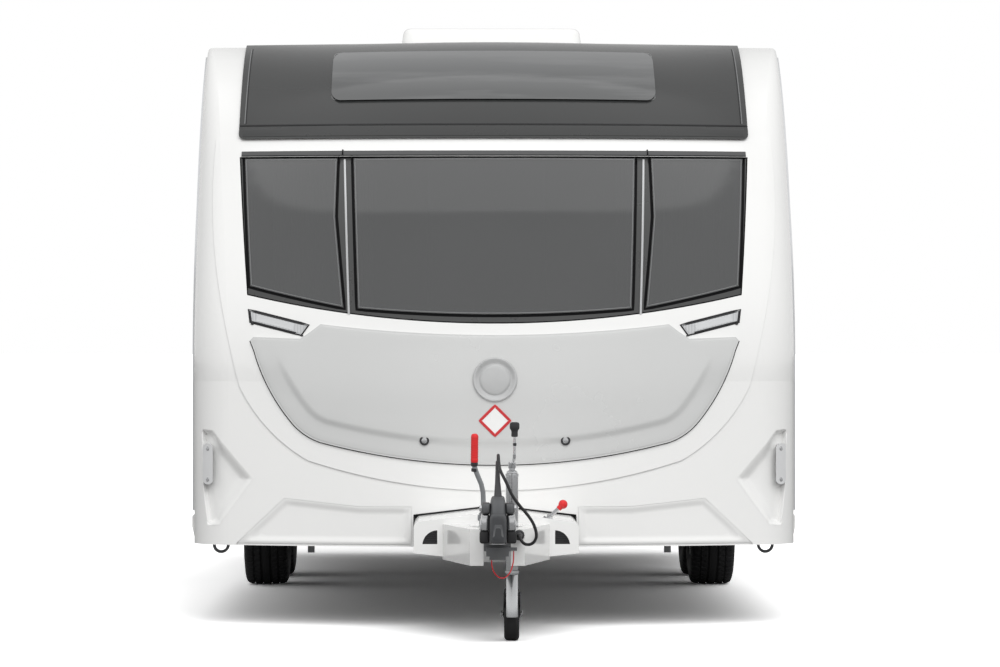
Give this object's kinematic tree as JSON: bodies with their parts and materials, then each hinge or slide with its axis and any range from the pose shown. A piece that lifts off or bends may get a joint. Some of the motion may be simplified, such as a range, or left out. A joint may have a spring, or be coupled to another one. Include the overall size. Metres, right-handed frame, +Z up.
{
  "type": "travel caravan",
  "caption": "Twin-axle touring caravan with bowed panoramic front, front locker lid, ball coupling, jockey wheel, corner steadies and a hinged side door.",
  "frame": {"origin": "on the road under the middle of the whole caravan, from the coupling nose to the rear bumper", "axes": "+Z up, +Y to the rear along the caravan, +X to the nearside, where the entrance door is"},
  "size_m": [2.456, 8.0015, 2.5025],
  "materials": {
    "gelcoat_white": "glossy",
    "lid_grey": "glossy",
    "panel_dark": "glossy",
    "wall_white": "satin",
    "frame_black": "glossy",
    "window_tint": "glossy",
    "lamp_clear": "glossy",
    "lamp_red": "glossy",
    "trim_grey": "matte",
    "trim_black": "matte",
    "galvanised": "satin",
    "rail_alloy": "satin",
    "wheel_alloy": "satin",
    "tyre_rubber": "matte",
    "rubber_black": "matte",
    "coupling_dark": "satin",
    "plated_steel": "glossy",
    "grip_red": "satin",
    "floor_board": "matte",
    "furniture_wood": "satin",
    "cushion_fabric": "matte",
    "curtain_fabric": "matte",
    "cable_black": "matte",
    "cable_red": "satin"
  },
  "bodies": {
    "body": {"front_shell": "gelcoat_white", "front_window_frame": "frame_black", "front_windows": "window_tint", "sunroof_panel": "panel_dark", "skylight": "window_tint", "front_marker_lamps": "lamp_clear", "front_grab_handles": "trim_grey", "side_wall_nearside": "wall_white", "side_wall_offside": "wall_white", "side_and_rear_windows": "window_tint", "roof_panel": "wall_white", "rear_shell": "gelcoat_white", "rooflight_frames": "gelcoat_white", "rooflight_lids": "lamp_clear", "side_skirts": "gelcoat_white", "awning_rails": "rail_alloy", "door_and_hatch_hinges": "trim_grey", "side_vents_and_inlets": "gelcoat_white", "rear_bumper": "gelcoat_white", "rear_lamps": "lamp_red", "floor_with_wheel_boxes": "floor_board", "front_bulkhead": "floor_board", "chassis_rails": "galvanised", "chassis_cross_members": "galvanised", "axles": "galvanised", "aframe_fairing": "gelcoat_white", "overrun_device": "galvanised", "coupling_head": "coupling_dark", "stabiliser_arms": "plated_steel", "rubber_gaiter_and_pads": "rubber_black", "hand_levers": "grip_red", "jockey_outer_tube": "plated_steel", "steady_brackets": "galvanised", "interior_furniture": "furniture_wood", "sofa_and_bed_cushions": "cushion_fabric", "front_curtains": "curtain_fabric", "electric_cable": "cable_black", "electric_plug": "trim_black", "breakaway_cable": "cable_red"},
    "locker_lid": {"locker_lid": "lid_grey", "lid_fittings": "trim_grey"},
    "entrance_door": {"entrance_door": "wall_white", "entrance_door_window": "window_tint"},
    "storage_hatch": {"storage_hatch": "wall_white"},
    "cassette_hatch": {"cassette_hatch": "wall_white"},
    "jockey_screw": {"jockey_inner_tube": "plated_steel"},
    "jockey_fork": {"jockey_fork": "trim_black"},
    "jockey_wheel": {"jockey_wheel": "rubber_black"},
    "wheel_front_nearside": {"tyre_front_nearside": "tyre_rubber", "rim_front_nearside": "wheel_alloy"},
    "wheel_front_offside": {"tyre_front_offside": "tyre_rubber", "rim_front_offside": "wheel_alloy"},
    "wheel_rear_nearside": {"tyre_rear_nearside": "tyre_rubber", "rim_rear_nearside": "wheel_alloy"},
    "wheel_rear_offside": {"tyre_rear_offside": "tyre_rubber", "rim_rear_offside": "wheel_alloy"},
    "steady_front_nearside": {"steady_front_nearside": "galvanised"},
    "steady_front_offside": {"steady_front_offside": "galvanised"},
    "steady_rear_nearside": {"steady_rear_nearside": "galvanised"},
    "steady_rear_offside": {"steady_rear_offside": "galvanised"}
  },
  "joints": [
    {"name": "wheel_front_nearside_spin", "type": "hinge", "parent": "body", "child": "wheel_front_nearside", "pos_m": [1.035, 0.85, 0.334], "axis": [1, 0, 0], "continuous": true},
    {"name": "wheel_front_offside_spin", "type": "hinge", "parent": "body", "child": "wheel_front_offside", "pos_m": [-1.035, 0.85, 0.334], "axis": [1, 0, 0], "continuous": true},
    {"name": "wheel_rear_nearside_spin", "type": "hinge", "parent": "body", "child": "wheel_rear_nearside", "pos_m": [1.035, 1.67, 0.334], "axis": [1, 0, 0], "continuous": true},
    {"name": "wheel_rear_offside_spin", "type": "hinge", "parent": "body", "child": "wheel_rear_offside", "pos_m": [-1.035, 1.67, 0.334], "axis": [1, 0, 0], "continuous": true},
    {"name": "steady_front_nearside_lower", "type": "hinge", "parent": "body", "child": "steady_front_nearside", "pos_m": [1.123, -1.55, 0.4], "axis": [-1, 0, 0], "range_deg": [0, 48]},
    {"name": "steady_front_offside_lower", "type": "hinge", "parent": "body", "child": "steady_front_offside", "pos_m": [-1.123, -1.55, 0.4], "axis": [-1, 0, 0], "range_deg": [0, 48]},
    {"name": "steady_rear_nearside_lower", "type": "hinge", "parent": "body", "child": "steady_rear_nearside", "pos_m": [1.123, 3.3, 0.4], "axis": [1, 0, 0], "range_deg": [0, 48]},
    {"name": "steady_rear_offside_lower", "type": "hinge", "parent": "body", "child": "steady_rear_offside", "pos_m": [-1.123, 3.3, 0.4], "axis": [1, 0, 0], "range_deg": [0, 48]},
    {"name": "locker_lid_open", "type": "hinge", "parent": "body", "child": "locker_lid", "pos_m": [0, -2.495, 1.225], "axis": [-1, 0, 0], "range_deg": [0, 75]},
    {"name": "entrance_door_open", "type": "hinge", "parent": "body", "child": "entrance_door", "pos_m": [1.22, 2.809, 1.375], "axis": [0, 0, 1], "range_deg": [0, 150]},
    {"name": "storage_hatch_open", "type": "hinge", "parent": "body", "child": "storage_hatch", "pos_m": [1.22, -0.12, 0.561], "axis": [0, 1, 0], "range_deg": [0, 100]},
    {"name": "cassette_hatch_open", "type": "hinge", "parent": "body", "child": "cassette_hatch", "pos_m": [-1.22, 3.01, 0.561], "axis": [0, -1, 0], "range_deg": [0, 100]},
    {"name": "jockey_raise", "type": "slide", "parent": "body", "child": "jockey_screw", "axis": [0, 0, -1], "range_m": [0, 0.2]},
    {"name": "jockey_swivel", "type": "hinge", "parent": "jockey_screw", "child": "jockey_fork", "pos_m": [0.058, -3.35, 0.2], "axis": [0, 0, 1], "continuous": true},
    {"name": "jockey_spin", "type": "hinge", "parent": "jockey_fork", "child": "jockey_wheel", "pos_m": [0.058, -3.218, 0.1025], "axis": [1, 0, 0], "continuous": true}
  ]
}
